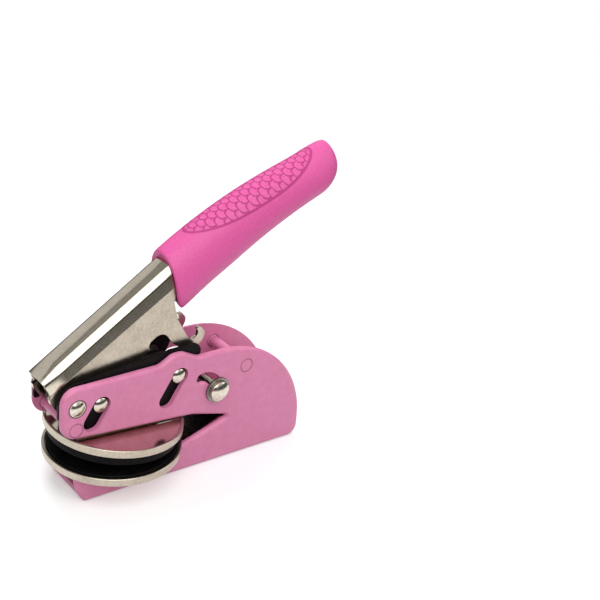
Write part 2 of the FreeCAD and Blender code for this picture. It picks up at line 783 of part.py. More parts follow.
def make_lock_washers():
    near = -half_width - seat_gap
    washer = rod(lock_point(0), lock_washer_diameter / 2, near - lock_washer_thickness, near)
    bore = rod(lock_point(0), lock_pin_diameter / 2 + fit_gap, -cut_reach, cut_reach)
    return both_sides(washer.cut(bore))


def make_lock_knobs():
    """Domed caps pressed on the pin's ends, outside the washers."""
    face = -half_width - seat_gap - lock_washer_thickness - fit_gap
    point = lock_point(0)
    skirt = rod(point, lock_knob_diameter / 2, face - lock_knob_height + 1.2, face)
    dome = domed_end(point, lock_knob_diameter / 2, 1.2, face - lock_knob_height + 1.2)
    bore = rod(point, lock_pin_diameter / 2 + fit_gap, face - 1.25, 0)
    return both_sides(skirt.fuse(dome).cut(bore))


# ---------------------------------------------------------------- all pieces
def build():
    return {
        "frame_channel": make_frame_channel(),
        "front_spacer": make_spacer(front_rod_x, front_rod_z),
        "rear_spacer": make_spacer(rear_rod_x, rear_rod_z),
        "pivot_pin": make_pivot_pin(),
        "return_spring": make_return_spring(),
        "lever_shell": make_lever_shell(),
        "grip": make_grip(),
        "lever_plug": from_lever(plug_block(0)),
        "lever_washers": make_lever_washers(),
        "press_carrier": make_press_carrier(),
        "front_guide_pin": make_guide_pin(front_pin),
        "rear_guide_pin": make_guide_pin(rear_pin),
        "pin_clips": make_pin_clips(),
        "press_button": make_press_button(),
        "lower_disc": make_lower_disc(),
        "lower_rail": make_lower_rail(),
        "lower_die": make_lower_die(),
        "lower_rivets": make_rivets(lower_pan_z - rail_sheet, lower_floor_z - fit_gap),
        "clip_spring": make_clip_spring(),
        "upper_disc": make_upper_disc(),
        "upper_rail": make_upper_rail(),
        "upper_die": make_upper_die(),
        "upper_rivets": opened(make_rivets(upper_floor_z + rail_sheet, upper_pan_z + fit_gap)),
        "lock_pin": make_lock_pin(),
        "lock_knobs": make_lock_knobs(),
        "lock_washers": make_lock_washers(),
    }


os.makedirs("parts", exist_ok=True)
for name, shape in build().items():
    if not shape.isValid():
        print("not valid:", name)
    shape.exportStep("parts/" + name + ".step")
    box = shape.BoundBox
    print("%-16s solids %d  volume %8.1f  x %6.1f %6.1f  y %6.1f %6.1f  z %6.1f %6.1f" % (
        name, len(shape.Solids), shape.Volume, box.XMin, box.XMax, box.YMin, box.YMax, box.ZMin, box.ZMax))
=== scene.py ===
"""The finished look of a hand-held seal embosser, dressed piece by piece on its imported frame."""
import math
import bmesh
import bpy
from mathutils import Matrix, Vector


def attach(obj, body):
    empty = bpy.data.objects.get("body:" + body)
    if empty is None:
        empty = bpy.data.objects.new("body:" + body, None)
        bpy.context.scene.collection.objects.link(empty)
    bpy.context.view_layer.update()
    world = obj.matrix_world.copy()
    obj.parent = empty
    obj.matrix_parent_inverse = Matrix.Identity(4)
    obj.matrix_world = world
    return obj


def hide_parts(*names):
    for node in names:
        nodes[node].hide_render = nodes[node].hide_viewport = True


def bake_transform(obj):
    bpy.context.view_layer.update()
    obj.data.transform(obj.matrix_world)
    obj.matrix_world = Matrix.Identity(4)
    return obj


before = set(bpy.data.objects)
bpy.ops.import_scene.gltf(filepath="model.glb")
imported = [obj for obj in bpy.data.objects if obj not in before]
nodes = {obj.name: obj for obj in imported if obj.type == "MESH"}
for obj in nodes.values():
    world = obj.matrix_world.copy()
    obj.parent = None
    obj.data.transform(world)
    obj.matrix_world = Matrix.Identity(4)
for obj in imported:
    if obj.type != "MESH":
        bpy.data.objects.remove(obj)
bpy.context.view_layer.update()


# ------------------------------------------------------------------ painted frame
# The body is one sheet of 2 mm steel, pierced and folded to a channel, then sprayed
# with pink enamel. The paint rounds every sheared edge; the rounded edges are painted
# a paler pink as a painted highlight.
# Shapes are drawn in millimetres and turned to metres as they become a mesh.
MM_PER_M = 1000
SAME_POINT = 2e-6
FLAT_ANGLE = math.radians(0.6)
CREASE_ANGLE = 40


class Shade:
    """Wraps a shader socket, so that sums on shader values read as plain expressions."""

    def __init__(self, tree, socket):
        self.tree = tree
        self.socket = socket

    def add(self, kind, settings=None, out=0, **inputs):
        """Adds a node of this kind; settings come first, then its sockets' values or links."""
        node = self.tree.nodes.new(kind)
        for name, value in (settings or {}).items():
            if name == "stops":
                ramp = node.color_ramp
                while len(ramp.elements) < len(value):
                    ramp.elements.new(1.0)
                for element, (place, grey) in zip(ramp.elements, value):
                    element.position = place
                    element.color = (grey, grey, grey, 1.0)
            else:
                setattr(node, name, value)
        for name, value in inputs.items():
            place = int(name[1:]) if name[1:].isdigit() else name.replace("_", " ")
            if isinstance(value, Shade):
                self.tree.links.new(value.socket, node.inputs[place])
            else:
                node.inputs[place].default_value = value
        return Shade(self.tree, node.outputs[out])

    def maths(self, operation, *values):
        """One maths node on these values, in their order."""
        inputs = {"i%d" % index: value for index, value in enumerate(values)}
        return self.add("ShaderNodeMath", {"operation": operation}, **inputs)

    def __add__(self, other): return self.maths("ADD", self, other)
    def __radd__(self, other): return self.maths("ADD", other, self)
    def __sub__(self, other): return self.maths("SUBTRACT", self, other)
    def __rsub__(self, other): return self.maths("SUBTRACT", other, self)
    def __mul__(self, other): return self.maths("MULTIPLY", self, other)
    def __rmul__(self, other): return self.maths("MULTIPLY", other, self)
    def __truediv__(self, other): return self.maths("DIVIDE", self, other)
    def __abs__(self): return self.maths("ABSOLUTE", self)
    def __pow__(self, power): return self.maths("POWER", self, power)
    def floor(self): return self.maths("FLOOR", self)
    def fraction(self): return self.maths("FRACT", self)
    def most(self, other): return self.maths("MAXIMUM", self, other)

    def step(self, low, high):
        """0 below low, 1 above high, smooth between."""
        return self.add("ShaderNodeMapRange", {"interpolation_type": "SMOOTHSTEP"},
                        Value=self, From_Min=low, From_Max=high)

    def tint(self, first, second):
        """Colour that goes from first to second as this value goes from 0 to 1."""
        return self.add("ShaderNodeMix", {"data_type": "RGBA"}, 2, i0=self, i6=first, i7=second)

    def noise(self, scale, detail, roughness):
        return self.add("ShaderNodeTexNoise", {}, 0, Vector=self, Scale=scale,
                        Detail=detail, Roughness=roughness)

    def split(self):
        """The three coordinates of a vector."""
        node = self.tree.nodes.new("ShaderNodeSeparateXYZ")
        self.tree.links.new(self.socket, node.inputs[0])
        return [Shade(self.tree, output) for output in node.outputs]

    def bump(self, height, strength):
        """Normals of this relief; its height is in millimetres."""
        return self.add("ShaderNodeBump", {}, 0, Height=self, Distance=height / MM_PER_M,
                        Strength=strength)


def new_finish(name, **constants):
    """A material, the object coordinates in it, and a function that links a shader socket."""
    material = bpy.data.materials.new(name)
    material.use_nodes = True
    tree = material.node_tree
    shader = tree.nodes["Principled BSDF"]
    for socket, value in constants.items():
        shader.inputs[socket.replace("_", " ")].default_value = value
    place = Shade(tree, tree.nodes.new("ShaderNodeTexCoord").outputs["Object"])

    def varies(socket, value):
        tree.links.new(value.socket, shader.inputs[socket])
    return material, place, varies


def colour(red, green, blue):
    """Linear colour from the 0-255 values that it shows on a screen."""
    def linear(value):
        value /= 255
        return value / 12.92 if value <= 0.04045 else ((value + 0.055) / 1.055) ** 2.4
    return (linear(red), linear(green), linear(blue), 1.0)


def add_object(name, data):
    """A new object at the origin, linked to the scene."""
    piece = bpy.data.objects.new(name, data)
    bpy.context.scene.collection.objects.link(piece)
    return piece


def shade_smooth(shape, crease_angle):
    """Smooths all faces and keeps the edges sharp from this angle up, in degrees."""
    for face in shape.faces:
        face.smooth = True
    for edge in shape.edges:
        edge.smooth = edge.calc_face_angle(0) < math.radians(crease_angle)


def softened(node, name, width, body, material, segments=3, angle=30):
    """A copy of a frame node with its sheared edges rounded by width; it stands for the node."""
    mesh = nodes[node].data.copy()
    mesh.name = name
    shape = bmesh.new()
    shape.from_mesh(mesh)
    bmesh.ops.remove_doubles(shape, verts=shape.verts, dist=SAME_POINT)
    bmesh.ops.dissolve_limit(shape, angle_limit=FLAT_ANGLE, verts=shape.verts, edges=shape.edges)
    # Rounded faces are marked so that a finish can paint them paler: a painted highlight.
    worn = shape.loops.layers.float.new("worn")
    sharp = [edge for edge in shape.edges
             if len(edge.link_faces) == 2 and edge.calc_face_angle(0) > math.radians(angle)]
    made = bmesh.ops.bevel(shape, geom=sharp, offset=width / MM_PER_M, offset_type="OFFSET",
                           segments=segments, profile=0.5, affect="EDGES", clamp_overlap=True,
                           material=-1)
    for face in made["faces"]:
        for loop in face.loops:
            loop[worn] = 1.0
    shade_smooth(shape, CREASE_ANGLE)
    shape.to_mesh(mesh)
    shape.free()
    piece = add_object(name, mesh)
    mesh.materials.clear()
    mesh.materials.append(material)
    piece.modifiers.new("even normals", "WEIGHTED_NORMAL").keep_sharp = True
    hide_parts(node)
    if body:
        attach(piece, body)
    return piece


def ring(place, x, z, radius, width):
    """1 on a thin circle in the side plates' plane round (x, z), all in millimetres."""
    along, _, rise = place.split()
    along = along * MM_PER_M - x
    rise = rise * MM_PER_M - z
    away = (along * along + rise * rise) ** 0.5
    return 1 - abs(away - radius).step(width / 2, width)


# A thin line shows where each rod's end meets the plates. The dark ring round the pivot's
# head is painted shade, standing for a shadowed gap between the head and its hole.
FRONT_ROD, REAR_ROD, PIVOT_HEAD = (-20.5, 29.6), (47.0, 36.2), (-20.2, 37.6)
ROD_RADIUS, ROD_LINE = 2.45, 0.34
HEAD_RADIUS, HEAD_SHADE_WIDTH = 2.95, 0.5

pink, place, varies = new_finish("pink_enamel", Specular_IOR_Level=0.45)
edge_highlight = place.add("ShaderNodeAttribute", {"attribute_name": "worn"}, 2)
mottle = place.noise(260, 4.0, 0.7)
grain = place.noise(2600, 2.0, 0.6)
paint = (mottle * 0.4 + grain * 0.6).step(0.36, 0.64)
paint = paint.tint(colour(214, 124, 164), colour(225, 138, 177))
# The rounded edges are painted a paler pink, broken up by the mottle: a painted highlight.
paint = (edge_highlight * 0.6 * mottle.step(0.3, 0.55)).tint(paint, colour(242, 184, 208))
rod_lines = (ring(place, *FRONT_ROD, ROD_RADIUS, ROD_LINE)
             + ring(place, *REAR_ROD, ROD_RADIUS, ROD_LINE))
head_gap_shade = ring(place, *PIVOT_HEAD, HEAD_RADIUS, HEAD_SHADE_WIDTH)
paint = (rod_lines * 0.6).tint(paint, colour(132, 70, 98))
# The pivot head's near-black ring is painted shade where a shadowed gap would be.
varies("Base Color", (head_gap_shade * 0.9).tint(paint, colour(58, 26, 38)))
varies("Roughness", 0.30 + 0.10 * mottle)
varies("Normal", (mottle * 0.6 + grain * 0.4).bump(0.012, 0.5))
folded = softened("frame_channel", "folded_frame", 0.45, "frame", pink)

# The slots that guide the press's pins are punched a little wider than the pins' heads.
# Each has the place of its upper end, its run along the lean, and its radius.
SLOTS = ((-11.2, 36.3, 6.4, 3.0), (19.0, 39.1, 9.4, 2.65))
SLOT_LEAN = math.radians(31.0)
SLOT_EDGE = 0.6
SLOT_EASE = 0.35
for slot_x, slot_z, length, radius in SLOTS:
    for vert in folded.data.vertices:
        x, z = vert.co.x * MM_PER_M - slot_x, vert.co.z * MM_PER_M - slot_z
        run = min(length, max(0.0, -x * math.sin(SLOT_LEAN) - z * math.cos(SLOT_LEAN)))
        away = Vector((x + run * math.sin(SLOT_LEAN), 0, z + run * math.cos(SLOT_LEAN)))
        if away.length < radius + SLOT_EDGE:
            vert.co += away.normalized() * (SLOT_EASE / MM_PER_M)


# ------------------------------------------------------------------ flush cross rods
# Two steel rods tie the side plates; their ends are riveted over, ground flush and
# painted with the frame, so that only a thin circle shows round each.
for node in ("front_spacer", "rear_spacer"):
    softened(node, node.replace("spacer", "tie_rod"), 0.12, "frame", pink, 2)


# ------------------------------------------------------------------ bright pins
# Turned steel pins with plated, lightly domed ends: the lever's pivot, the press's two
# guide pins and its button, the lock pin with its caps, and the rivets of the die clip.
# The guide pins' heads lie partly sunk in their slots.
PINS = (("pivot_pin", "frame"), ("front_guide_pin", "press"), ("rear_guide_pin", "press"),
        ("press_button", "press"), ("lower_rivets", "clip"), ("upper_rivets", "upper_jaw"),
        ("lock_pin", "lock"), ("lock_knobs", "lock"))
HEAD_DEPTH = 1.0
HEAD_SINK = 0.7

plated, place, varies = new_finish("bright_plate", Metallic=1.0)
swirl = place.noise(900, 3.0, 0.6)
varies("Base Color", swirl.step(0.3, 0.7).tint(colour(196, 187, 171), colour(216, 209, 196)))
varies("Roughness", 0.13 + 0.12 * swirl)
varies("Normal", swirl.bump(0.006, 0.35))
for node, body in PINS:
    bright = softened(node, node + "_bright", 0.25, body, plated, 3)
    if node.endswith("guide_pin"):
        end = max(vert.co.y for vert in bright.data.vertices)
        for vert in bright.data.vertices:
            if abs(vert.co.y) > end - HEAD_DEPTH / MM_PER_M:
                vert.co.y -= math.copysign(HEAD_SINK / MM_PER_M, vert.co.y)


# ------------------------------------------------------------------ stamped washers
# Thin steel washers keep the lever's cheeks and the lock's caps off their neighbours.
# They are stamped and only tumbled: duller, greyer and with a fine turned grain.
dull, place, varies = new_finish("stamped_washer", Metallic=1.0)
grey = place.noise(1200, 3.0, 0.7)
varies("Base Color", grey.step(0.3, 0.7).tint(colour(120, 117, 110), colour(150, 146, 137)))
varies("Roughness", 0.26 + 0.16 * grey)
for node, body in (("lever_washers", "lever"), ("lock_washers", "lock")):
    softened(node, node + "_dull", 0.15, body, dull, 2)


# ------------------------------------------------------------------ springs
# Hard-drawn wire and leaf, hardened and oiled black, with a faint dark sheen: the return
# spring round the pivot, the clips on the guide pins, and the leaf that opens the die clip.
drawn, place, varies = new_finish("drawn_spring_steel", Metallic=1.0)
streak = place.noise(700, 3.0, 0.6)
varies("Base Color", streak.step(0.3, 0.7).tint(colour(46, 43, 42), colour(84, 79, 76)))
varies("Roughness", 0.24 + 0.14 * streak)
nodes["return_spring"].data.materials.clear()
nodes["return_spring"].data.materials.append(drawn)
softened("pin_clips", "pin_clips_dark", 0.1, "press", drawn, 2)

# The clip's leaf bends at its fold, its upper half going down with the jaw; this copy keeps
# its rest shape, with its place baked into its mesh and no body.
leaf = softened("clip_spring", "clip_leaf", 0.15, None, drawn, 2)
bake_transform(leaf)


# ------------------------------------------------------------------ lever
# Nickel-plated steel sheet, 1.2 mm thick, folded to a channel that turns on the pivot pin.
# Its rounded back is polished bright; its two flat cheeks, with the notch and the lock
# hook, keep the satin grain of the sheet and the fine specks left by the tumbling.
LEVER_TILT = math.radians(34.8)
PIVOT = Vector((-0.0202, 0.0, 0.0376))
lever_place = Matrix.Translation(PIVOT) @ Matrix.Rotation(-LEVER_TILT, 4, "Y")
upright = lever_place.inverted()

nickel, place, varies = new_finish("nickel_plate", Metallic=1.0)
cloud = place.noise(160, 4.0, 0.65)
speck = place.noise(2200, 2.0, 0.6)
sheen = (cloud * 0.5 + speck * 0.5).step(0.34, 0.66)
varies("Base Color", sheen.tint(colour(196, 186, 168), colour(212, 203, 187)))
varies("Roughness", 0.08 + 0.08 * speck + 0.05 * cloud)
varies("Normal", speck.bump(0.003, 0.3))

satin, place, varies = new_finish("satin_nickel", Metallic=1.0)
cloud = place.noise(190, 4.0, 0.65)
speck = place.noise(1500, 3.0, 0.7)
sheen = (cloud * 0.4 + speck * 0.6).step(0.34, 0.66)
varies("Base Color", sheen.tint(colour(170, 159, 143), colour(196, 186, 171)))
varies("Roughness", 0.26 + 0.12 * speck)
varies("Normal", speck.bump(0.01, 0.5))

CHEEK_FACING = 0.97
CHEEK_SIDE = 0.0061
cheeks = softened("lever_shell", "lever_cheeks", 0.3, "lever", nickel, 3, 38)
cheeks.data.materials.append(satin)
for face in cheeks.data.polygons:
    outside = abs(face.normal.y) > CHEEK_FACING and abs(face.center.y) > CHEEK_SIDE
    face.material_index = 1 if outside else 0

# The back is drawn rounder than the cheeks' fold: its flanks lean in, so the sheet above a
# cut just under the crease goes, and a rounded channel is laid over the cheeks instead.
CUT_START, CUT_SLOPE = 6.57, -0.0374
shape = bmesh.new()
shape.from_mesh(cheeks.data)
bmesh.ops.bisect_plane(shape, geom=shape.verts[:] + shape.edges[:] + shape.faces[:],
                       clear_outer=True,
                       plane_co=lever_place @ Vector((0, 0, CUT_START / MM_PER_M)),
                       plane_no=lever_place.to_3x3() @ Vector((-CUT_SLOPE, 0, 1)))
shape.to_mesh(cheeks.data)
shape.free()


def crease_height(along):
    """Height of the crease between the lever's rounded back and its cheeks, in millimetres."""
    return 7.7 - 0.045 * along


def new_of(made, kind):
    """The vertices or the edges among what an operator made."""
    return [item for item in made if isinstance(item, kind)]


def draw_on(shape, vert, spots):
    """Draws a line on from a vertex through these spots, and gives its end."""
    for spot in spots:
        vert = bmesh.ops.extrude_vert_indiv(shape, verts=[vert])["verts"][0]
        vert.co = spot
    return vert


def to_metres(shape, place):
    """Scales a shape drawn in millimetres, puts it in its place and turns its faces outward."""
    bmesh.ops.scale(shape, vec=[1 / MM_PER_M] * 3, verts=shape.verts)
    bmesh.ops.transform(shape, matrix=place, verts=shape.verts)
    bmesh.ops.recalc_face_normals(shape, faces=shape.faces)


def new_piece(name, shape, *materials):
    """An object of this shape, with its materials in their order."""
    mesh = bpy.data.meshes.new(name)
    shape.to_mesh(mesh)
    shape.free()
    for material in materials:
        mesh.materials.append(material)
    return add_object(name, mesh)


def eased(value):
    """The value, held between 0 and 1."""
    return min(1.0, max(0.0, value))


# Half the back's section, drawn from its flat crown over three arcs to the flank, then
# in at the crease and down past the cut; an arc has its radius, its two angles and steps.
BACK_FRONT, BACK_REAR = -2.9, 57.0
BACK_TOP, BACK_TOP_REAR = 13.5, 12.2
ARCS = ((2.5, 80, 63, 2), (4.3, 63, 30, 6), (1.8, 30, 14, 3))
crease = crease_height(BACK_FRONT)
rear_crease = crease_height(BACK_REAR)
cut = CUT_START + CUT_SLOPE * BACK_FRONT
shape = bmesh.new()
line = bmesh.ops.create_vert(shape, co=(BACK_FRONT, 0, BACK_TOP))["vert"][0]
line = draw_on(shape, line, ((BACK_FRONT, 1.6, BACK_TOP - 0.08),
                             (BACK_FRONT, 3.04, BACK_TOP - 0.22)))
for radius, start, end, steps in ARCS:
    lean_in = math.radians(start)
    centre = line.co - Vector((0, radius * math.cos(lean_in), radius * math.sin(lean_in)))
    made = bmesh.ops.spin(shape, geom=[line], cent=centre, axis=(-1, 0, 0),
                          angle=math.radians(start - end), steps=steps)["geom_last"]
    line = new_of(made, bmesh.types.BMVert)[0]
draw_on(shape, line, ((BACK_FRONT, 6.50, crease), (BACK_FRONT, 6.38, crease - 0.10),
                      (BACK_FRONT, 6.46, crease - 0.24), (BACK_FRONT, 6.44, cut - 0.10),
                      (BACK_FRONT, 6.10, cut - 0.20)))
bmesh.ops.mirror(shape, geom=shape.verts[:] + shape.edges[:], axis="Y", merge_dist=0.001)

# The section is drawn out to the rear, where the back is lower, and down its front edge
# the sheet reaches further forward in two places: how far, from what height, and how soon.
FRONT_REACH = ((0.4, 9.0, 1.2), (1.4, 7.9, 1.3))
LENGTHWISE = 5.0
front = shape.verts[:]
made = bmesh.ops.extrude_edge_only(shape, edges=shape.edges[:])["geom"]
stretch = (BACK_TOP_REAR - rear_crease) / (BACK_TOP - crease)
for vert in new_of(made, bmesh.types.BMVert):
    vert.co.x = BACK_REAR
    vert.co.z = rear_crease + (vert.co.z - crease) * stretch
for vert in front:
    vert.co.x -= sum(reach * eased((height - vert.co.z) / fall)
                     for reach, height, fall in FRONT_REACH)
long_edges = [edge for edge in shape.edges
              if abs(edge.verts[0].co.x - edge.verts[1].co.x) > LENGTHWISE]
bmesh.ops.subdivide_edges(shape, edges=long_edges, cuts=7, use_grid_fill=True)
bmesh.ops.remove_doubles(shape, verts=shape.verts, dist=0.001)
to_metres(shape, lever_place)

# The crown's faces look up, and those below the crease keep the satin of the cheeks.
CROWN_HEIGHT = 0.0105
BELOW_CREASE = 0.2
BACK_CREASE_ANGLE = 14
crown = [face for face in shape.faces
         if (upright @ face.calc_center_median()).z > CROWN_HEIGHT]
if sum((upright.to_3x3() @ face.normal).z for face in crown) < 0:
    bmesh.ops.reverse_faces(shape, faces=shape.faces)
for face in shape.faces:
    spot = upright @ face.calc_center_median() * MM_PER_M
    face.material_index = 1 if spot.z < crease_height(spot.x) - BELOW_CREASE else 0
shade_smooth(shape, BACK_CREASE_ANGLE)
back = new_piece("lever_back", shape, nickel, satin)
wall = back.modifiers.new("sheet", "SOLIDIFY")
wall.thickness, wall.offset, wall.material_offset_rim = 0.0012, -1.0, 1
rim = back.modifiers.new("rolled edge", "BEVEL")
rim.width, rim.segments, rim.limit_method, rim.angle_limit = 0.0002, 2, "ANGLE", math.radians(50)
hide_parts("lever_shell")
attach(back, "lever")


# ------------------------------------------------------------------ grip
# A soft vinyl sleeve, moulded with a thick rounded lip and pushed hot over the lever's
# bent end. An oval field of fish scales is sunk into its back for the palm.
GRIP_START, GRIP_RUN = 53.0, 60.0
GRIP_END, GRIP_CAP = 124.3, 11.7
CREST, CREST_DROOP = 15.4, 10.7
TIP_START, TIP_LIFT = 110.0, 0.066
UNDERSIDE, BELLY_PLACE, BELLY_BOW = -6.3, 70.0, 0.00278
PALM_START, PALM_RUN, PALM_DEPTH = 54.0, 18, 1.5
HALF_WIDTH, TAPER = 8.5, 0.95
TIP_HEART = 0.84
MOUTH = ((-8.0, 50.6), (-6.6, 49.3), (-5.0, 48.6), (-2.3, 48.3), (1.3, 48.9),
         (4.0, 50.0), (7.6, 51.3), (10.4, 52.5), (13.0, 53.6), (16.0, 54.6))


def grip_oval(along):
    """Crest, underside and half width of the grip at a place along the lever, in millimetres."""
    beyond = max(0.0, (along - GRIP_START) / GRIP_RUN)
    crest = CREST - CREST_DROOP * beyond ** 1.9 + TIP_LIFT * max(0.0, along - TIP_START) ** 1.5
    under = UNDERSIDE - BELLY_BOW * (along - BELLY_PLACE) ** 2
    under -= PALM_DEPTH * eased((along - PALM_START) / PALM_RUN)
    width = HALF_WIDTH - TAPER * beyond ** 2
    into_cap = max(0.0, (along - GRIP_END + GRIP_CAP) / GRIP_CAP)
    shrink = max(0.0, 1 - into_cap ** 1.58) ** 0.3
    heart = TIP_HEART * crest + (1 - TIP_HEART) * under
    return heart + (crest - heart) * shrink, heart + (under - heart) * shrink, width * shrink


def mouth_line(height):
    """How far along the lever the grip's mouth lies at a height, in millimetres."""
    for (low, start), (high, end) in zip(MOUTH, MOUTH[1:]):
        if height <= high:
            return start + (end - start) * max(0.0, height - low) / (high - low)
    return MOUTH[-1][1]


def grip_ring(shape, along):
    """One oval ring of the sleeve, in the lever's own coordinates."""
    crest, under, width = grip_oval(along)
    spot = Matrix.Translation((along, 0, (crest + under) / 2))
    spot = spot @ Matrix.Rotation(math.pi / 2, 4, "Y")
    size = Matrix.Diagonal(((crest - under) / 2, width, 1, 1))
    return bmesh.ops.create_circle(shape, segments=40, radius=1.0, matrix=spot @ size)["verts"]


def ring_edges(verts):
    return list({edge for vert in verts for edge in vert.link_edges})


# Rings lie evenly along the sleeve and closer together over its rounded end.
CAP_SHARES = (0.0, 0.2, 0.4, 0.58, 0.74, 0.86, 0.94, 0.985)
shape = bmesh.new()
stations = [52.0] + [56 + 4.0 * step for step in range(14)]
stations += [GRIP_END - GRIP_CAP + GRIP_CAP * share for share in CAP_SHARES]
rings = [grip_ring(shape, along) for along in stations]
for vert in rings[0]:
    vert.co.x = mouth_line(vert.co.z)
loops = [ring_edges(verts) for verts in rings]
for first, second in zip(loops, loops[1:]):
    bmesh.ops.bridge_loops(shape, edges=first + second)
bmesh.ops.contextual_create(shape, geom=loops[-1])

# The lip rolls over, closes to the lever's own section and runs in between it and the
# sleeve. Each turn has its shift along the lever, its share of the last ring's size, and
# whether that share is of the lever's section instead.
LIP_TURNS = ((-0.45, 0.95, False), (-0.1, 0.90, False), (0.0, 1.03, True), (0.4, 1.0, True),
             (6.0, 1.0, False))
LEVER_HEART, LEVER_HALF_WIDTH, LEVER_HALF_HEIGHT = 4.2, 6.75, 6.85
lip = loops[0]
for shift, share, to_lever in LIP_TURNS:
    made = bmesh.ops.extrude_edge_only(shape, edges=lip)["geom"]
    lip = new_of(made, bmesh.types.BMEdge)
    for vert in new_of(made, bmesh.types.BMVert):
        reach = ((abs(vert.co.y) / LEVER_HALF_WIDTH) ** 4
                 + (abs(vert.co.z - LEVER_HEART) / LEVER_HALF_HEIGHT) ** 4) ** 0.25
        narrow = share / reach if to_lever else share
        vert.co.x += shift
        vert.co.y *= narrow
        vert.co.z = LEVER_HEART + (vert.co.z - LEVER_HEART) * narrow
bmesh.ops.contextual_create(shape, geom=lip)
to_metres(shape, lever_place)
for face in shape.faces:
    face.smooth = True


def along_lever(place):
    """Object coordinates turned to run along, across and away from the lever, in millimetres."""
    place = place.add("ShaderNodeVectorMath", {"operation": "SUBTRACT"}, 0, i0=place, i1=PIVOT)
    x, y, z = place.split()
    cos, sin = MM_PER_M * math.cos(LEVER_TILT), MM_PER_M * math.sin(LEVER_TILT)
    return x * cos + z * sin, y * MM_PER_M, z * cos - x * sin


# The scales stand in staggered rows, each a squarish arc that laps the row before it;
# the field round them is a long oval with a rim of its own.
ROW, SCALE = 2.3, 3.4
BOW = 2.6
FIELD_CENTRE, FIELD_HALF_LENGTH, FIELD_HALF_WIDTH = 91.0, 26.3, 7.1

vinyl, place, varies = new_finish("pink_vinyl", Specular_IOR_Level=0.4)
along, across, away = along_lever(place)
skin = place.noise(1800, 3.0, 0.6)
rows = along / ROW
row = rows.floor()
rest = (1 - (rows - row)) * ROW
side = across / SCALE + row * 0.5
side = (side.fraction() - 0.5) * (2 * ROW)
arc = (abs(rest) ** BOW + abs(side) ** BOW) ** (1 / BOW)
field = abs(along - FIELD_CENTRE) / FIELD_HALF_LENGTH
field = field ** BOW + (abs(across) / FIELD_HALF_WIDTH) ** 2.0
on_back = away.step(0.5, 2.0)
inside = (1 - field.step(0.93, 0.99)) * on_back
scales = (1 - abs(arc - ROW).step(0.10, 0.34)) * inside
edge = (1 - abs(field - 1.0).step(0.02, 0.075)) * on_back
groove = scales.most(edge)
paint = skin.step(0.3, 0.7).tint(colour(219, 85, 154), colour(229, 98, 167))
# The sunk grooves of the scales and the field's rim are painted a darker pink: painted shade in the
# grooves.
varies("Base Color", (groove * 0.9).tint(paint, colour(186, 50, 124)))
varies("Roughness", 0.40 + 0.12 * skin)
varies("Normal", (skin * 0.05 - groove).bump(0.30, 0.8))
sleeve = new_piece("vinyl_grip", shape, vinyl)
rounding = sleeve.modifiers.new("soft skin", "SUBSURF")
rounding.levels = rounding.render_levels = 2
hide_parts("grip")
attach(sleeve, "lever")


# ------------------------------------------------------------------ lever plug
# A small block moulded in hard black plastic and pushed in between the lever's cheeks. It
# closes the channel just inside the grip's mouth.
black, place, varies = new_finish("black_moulding", Specular_IOR_Level=0.08)
dust = place.noise(600, 3.0, 0.6)
varies("Base Color", dust.step(0.35, 0.75).tint(colour(6, 5, 5), colour(18, 15, 16)))
varies("Roughness", 0.44 + 0.2 * dust)

PLUG_ALONG, PLUG_SIZE, PLUG_EDGE = 0.0542, (0.0072, 0.0100, 0.0044, 1), 0.0008
shape = bmesh.new()
plug_place = lever_place @ Matrix.Translation((PLUG_ALONG, 0, 0)) @ Matrix.Diagonal(PLUG_SIZE)
bmesh.ops.create_cube(shape, size=1.0, matrix=plug_place)
bmesh.ops.bevel(shape, geom=shape.edges, offset=PLUG_EDGE, segments=3, profile=0.5,
                affect="EDGES", material=-1)
bmesh.ops.recalc_face_normals(shape, faces=shape.faces)
plug = new_piece("black_plug", shape, black)
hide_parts("lever_plug")
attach(plug, "lever")


# ------------------------------------------------------------------ press carrier
# A channel folded from 1.2 mm steel and enamelled black. It hangs on the guide pins
# between the side plates and the lever's cheeks, and its foot pushes the upper die down.
enamel, place, varies = new_finish("black_enamel", Specular_IOR_Level=0.10)
dust = place.noise(500, 3.0, 0.6)
varies("Base Color", dust.step(0.4, 0.8).tint(colour(6, 4, 5), colour(22, 14, 16)))
varies("Roughness", 0.32 + 0.22 * dust)
carrier = softened("press_carrier", "black_carrier", 0.25, "press", enamel, 2)

# Its walls are trimmed: a rounder front corner set a little inward, an earlier rise to the
# hump over the rear pin, and a hump that runs on further to the rear.
FRONT, TOP, CORNER = -27.0, 46.6, 5.0
SET_IN, ROUNDER = 1.0, 2.5
NEARLY = 0.01
FRONT_EDGE, TOP_EDGE = 1.5, 1.0
RISE_START, RISE_END, RISE_BACK, RISE_UP = 8.0, 13.4, 3.2, 1.5
HUMP_REAR, HUMP_LOW, HUMP_FALL, HUMP_ON = 22.5, 36.0, 6.0, 3.4
new_heart = CORNER + ROUNDER + SET_IN
for vert in carrier.data.vertices:
    x, z = vert.co.x * MM_PER_M, vert.co.z * MM_PER_M
    corner = Vector((x - FRONT - CORNER, 0, z - TOP + CORNER))
    if corner.x < NEARLY and corner.z > -NEARLY:
        corner = corner.normalized() * (corner.length + ROUNDER)
        x, z = FRONT + new_heart + corner.x, TOP - new_heart + corner.z
    elif x < FRONT + FRONT_EDGE:
        x += SET_IN
    elif RISE_START < x < RISE_END and z > TOP - TOP_EDGE:
        x, z = x - RISE_BACK, z + RISE_UP
    elif x > HUMP_REAR and z > HUMP_LOW:
        x += HUMP_ON * min(1.0, (z - HUMP_LOW) / HUMP_FALL)
    vert.co.x, vert.co.z = x / MM_PER_M, z / MM_PER_M


